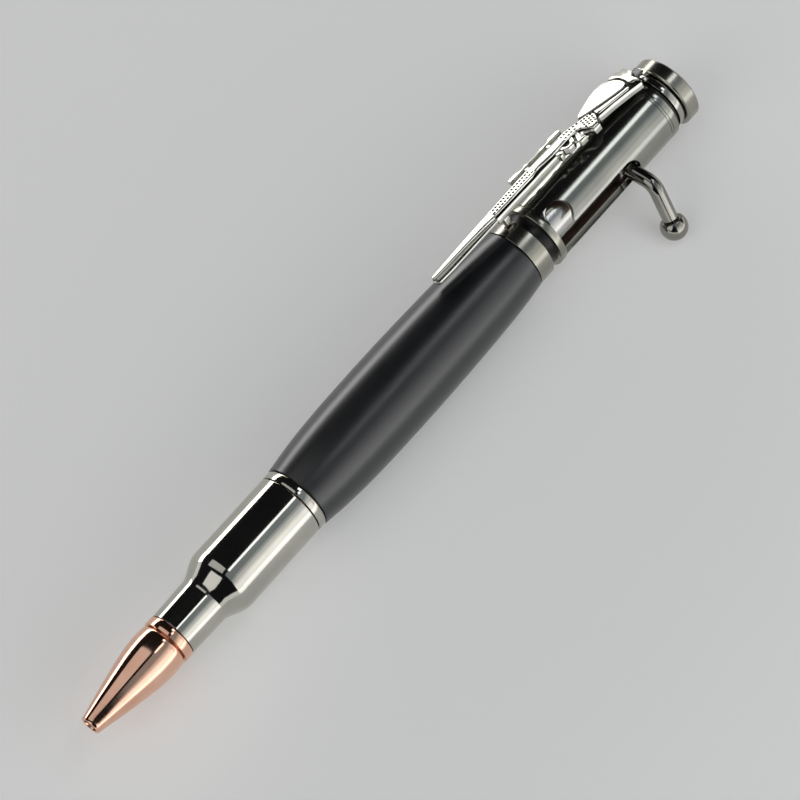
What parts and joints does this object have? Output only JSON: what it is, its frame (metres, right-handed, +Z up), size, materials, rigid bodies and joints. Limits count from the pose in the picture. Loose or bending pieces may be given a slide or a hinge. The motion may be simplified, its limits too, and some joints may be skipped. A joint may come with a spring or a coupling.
{
  "type": "bolt-action ballpoint pen",
  "caption": "Bolt-action metal ballpoint pen with a cartridge-shaped front, copper bullet nose, satin black barrel and rifle-shaped clip.",
  "frame": {"origin": "centre of the end cap's flat face, on the pen's axis", "axes": "+X along the pen towards the writing tip, +Y towards the side the bolt knob lies on, +Z up as the pen lies on a table"},
  "size_m": [0.14, 0.0245, 0.0166],
  "materials": {
    "finial": "finely turned gunmetal plating",
    "clip_ring": "polished gunmetal plating",
    "rifle_clip": "polished gunmetal plating with cast relief",
    "top_bush": "machined and blackened",
    "bolt_housing": "polished gunmetal plating",
    "bolt_plunger": "polished gunmetal plating",
    "bolt_handle": "polished dark gunmetal plating",
    "handle_knob": "polished dark gunmetal plating",
    "centre_coupling": "polished gunmetal plating",
    "barrel_sleeve": "satin black lacquer",
    "barrel_liner": "drawn tube",
    "lower_coupler": "machined",
    "lower_trim_ring": "polished gunmetal plating",
    "cartridge_shell": "polished gunmetal plating",
    "nose_collar": "polished copper plating",
    "nose_cone": "polished copper plating",
    "return_spring": "drawn spring wire",
    "refill_tube": "drawn tube",
    "refill_plug": "moulded",
    "refill_neck": "moulded",
    "refill_point": "machined",
    "refill_ball": "ground"
  },
  "bodies": {
    "pen": {"finial": "finial", "clip_ring": "clip_ring", "top_bush": "top_bush", "bolt_housing": "bolt_housing", "centre_coupling": "centre_coupling", "barrel_sleeve": "barrel_sleeve", "barrel_liner": "barrel_liner", "lower_coupler": "lower_coupler", "lower_trim_ring": "lower_trim_ring", "cartridge_shell": "cartridge_shell", "nose_collar": "nose_collar", "nose_cone": "nose_cone", "return_spring": "return_spring"},
    "bolt": {"bolt_plunger": "bolt_plunger", "bolt_handle": "bolt_handle", "handle_knob": "handle_knob"},
    "refill": {"refill_tube": "refill_tube", "refill_plug": "refill_plug", "refill_neck": "refill_neck", "refill_point": "refill_point", "refill_ball": "refill_ball"},
    "clip": {"rifle_clip": "rifle_clip"}
  },
  "joints": [
    {"name": "bolt_slide", "type": "slide", "parent": "pen", "child": "bolt", "axis": [1, 0, 0], "range_m": [0, 0.0155], "stiffness_N_per_m": 150, "springref_m": -0.012},
    {"name": "refill_slide", "type": "slide", "parent": "pen", "child": "refill", "axis": [1, 0, 0], "range_m": [0, 0.0155], "deforming": ["return_spring"]},
    {"name": "clip_flex", "type": "hinge", "parent": "pen", "child": "clip", "pos_m": [0.0029, -0.00363, 0.00581], "axis": [0, -0.848, -0.5299], "range_deg": [0, 2.5], "stiffness_Nm_per_rad": 0.3, "springref_deg": -2.86}
  ],
  "couplings": [
    {"joint": "refill_slide", "follows": "bolt_slide", "ratio": 1}
  ]
}
